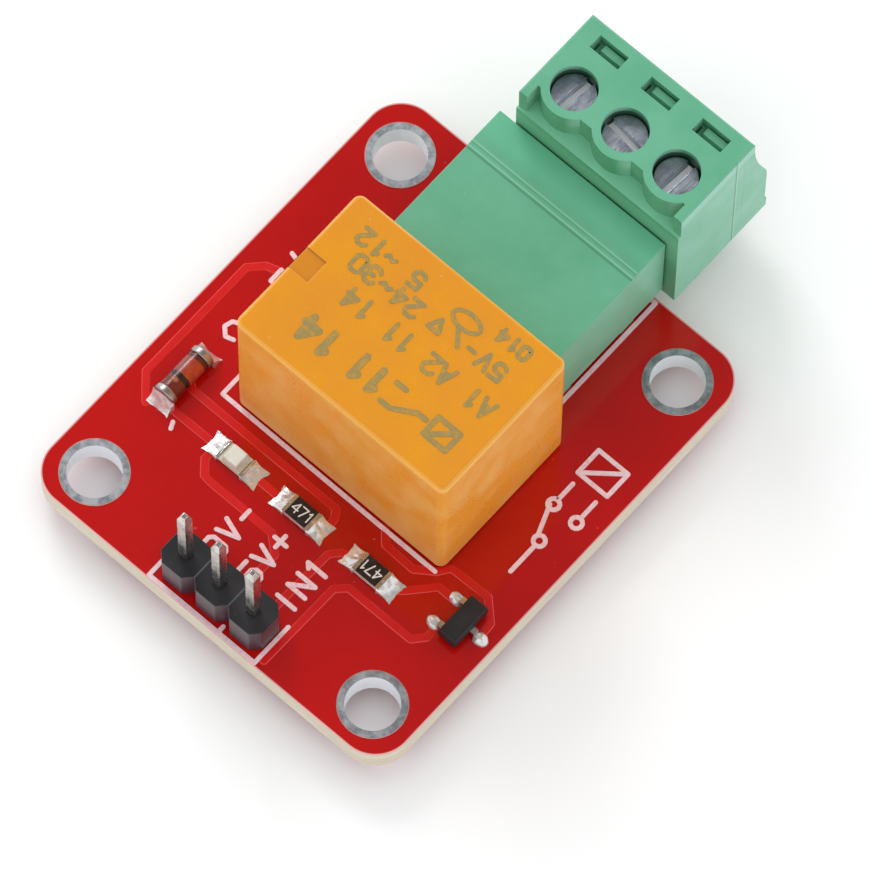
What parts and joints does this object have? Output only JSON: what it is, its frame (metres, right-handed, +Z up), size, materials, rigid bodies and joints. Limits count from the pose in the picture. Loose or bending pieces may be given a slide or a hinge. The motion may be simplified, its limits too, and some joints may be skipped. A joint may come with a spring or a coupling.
{
  "type": "relay module board",
  "caption": "Small red circuit board with an amber sealed relay, an upright pin header, chip parts and a right-angle header that carries a pluggable screw terminal block.",
  "frame": {"origin": "middle of the four mounting holes, on the underside of the board", "axes": "+X along the short side of the board, +Y towards the screw terminals, +Z up through the component side"},
  "size_m": [0.0268, 0.0403, 0.015],
  "materials": {
    "board": "glossy red solder mask over glass-fibre laminate",
    "plating": "tin plating, satin",
    "solder": "bright solder",
    "black_plastic": "moulded, slightly shiny",
    "tinned_pin": "tin-plated brass, satin",
    "relay_case": "moulded, semi-gloss amber",
    "relay_base": "moulded",
    "relay_iron": "nickel-plated iron",
    "relay_bobbin": "moulded",
    "copper_winding": "enamelled copper",
    "contact_bronze": "rolled bronze, satin",
    "connector_green": "moulded, satin",
    "clamp_metal": "zinc-plated, satin",
    "clamp_screw": "zinc-plated, bright",
    "led_base": "white moulding",
    "led_lens": "clear resin",
    "resistor_film": "black film over ceramic",
    "chip_terminal": "tin-plated",
    "diode_glass": "tinted glass",
    "transistor_plastic": "moulded"
  },
  "bodies": {
    "module": {"circuit_board": "board", "mounting_hole_linings": "plating", "underside_solder": "solder", "surface_solder": "solder", "pin_header_strip": "black_plastic", "header_pin_1": "tinned_pin", "header_pin_2": "tinned_pin", "header_pin_3": "tinned_pin", "relay_cover": "relay_case", "relay_base": "relay_base", "relay_yoke": "relay_iron", "relay_core": "relay_iron", "relay_bobbin": "relay_bobbin", "relay_winding": "copper_winding", "relay_coil_pins": "tinned_pin", "relay_common_pin": "tinned_pin", "relay_open_contact": "contact_bronze", "relay_closed_contact": "contact_bronze", "terminal_pin_1": "tinned_pin", "terminal_pin_2": "tinned_pin", "terminal_pin_3": "tinned_pin", "terminal_header_housing": "connector_green", "led_base": "led_base", "led_terminals": "chip_terminal", "led_lens": "led_lens", "resistor_1_body": "resistor_film", "resistor_1_terminals": "chip_terminal", "resistor_2_body": "resistor_film", "resistor_2_terminals": "chip_terminal", "diode_glass": "diode_glass", "diode_end_caps": "chip_terminal", "transistor_body": "transistor_plastic", "transistor_leads": "chip_terminal"},
    "plug": {"plug_housing": "connector_green", "plug_end_cap": "connector_green", "plug_contact_1": "tinned_pin", "plug_contact_2": "tinned_pin", "plug_contact_3": "tinned_pin"},
    "armature": {"relay_armature": "relay_iron", "relay_contact_spring": "contact_bronze"},
    "clamp_screw_1": {"clamp_screw_1": "clamp_screw"},
    "clamp_cage_1": {"clamp_cage_1": "clamp_metal"},
    "clamp_screw_2": {"clamp_screw_2": "clamp_screw"},
    "clamp_cage_2": {"clamp_cage_2": "clamp_metal"},
    "clamp_screw_3": {"clamp_screw_3": "clamp_screw"},
    "clamp_cage_3": {"clamp_cage_3": "clamp_metal"}
  },
  "joints": [
    {"name": "plug_pull", "type": "slide", "parent": "module", "child": "plug", "axis": [0, 1, 0], "range_m": [0, 0.009]},
    {"name": "armature_rock", "type": "hinge", "parent": "module", "child": "armature", "pos_m": [-0.00576, 0.00078, 0.0111], "axis": [0, 1, 0], "range_deg": [0, 3], "stiffness_Nm_per_rad": 0.005, "springref_deg": -5.73},
    {"name": "screw_1_turn", "type": "hinge", "parent": "plug", "child": "clamp_screw_1", "pos_m": [-0.00276, 0.01895, 0.01], "axis": [0, 0, 1], "range_deg": [-1800, 0]},
    {"name": "cage_1_rise", "type": "slide", "parent": "plug", "child": "clamp_cage_1", "axis": [0, 0, 1], "range_m": [0, 0.002]},
    {"name": "screw_2_turn", "type": "hinge", "parent": "plug", "child": "clamp_screw_2", "pos_m": [0.00105, 0.01895, 0.01], "axis": [0, 0, 1], "range_deg": [-1800, 0]},
    {"name": "cage_2_rise", "type": "slide", "parent": "plug", "child": "clamp_cage_2", "axis": [0, 0, 1], "range_m": [0, 0.002]},
    {"name": "screw_3_turn", "type": "hinge", "parent": "plug", "child": "clamp_screw_3", "pos_m": [0.00486, 0.01895, 0.01], "axis": [0, 0, 1], "range_deg": [-1800, 0]},
    {"name": "cage_3_rise", "type": "slide", "parent": "plug", "child": "clamp_cage_3", "axis": [0, 0, 1], "range_m": [0, 0.002]}
  ],
  "couplings": [
    {"joint": "screw_1_turn", "follows": "cage_1_rise", "rad_per_m": -15708},
    {"joint": "screw_2_turn", "follows": "cage_2_rise", "rad_per_m": -15708},
    {"joint": "screw_3_turn", "follows": "cage_3_rise", "rad_per_m": -15708}
  ]
}
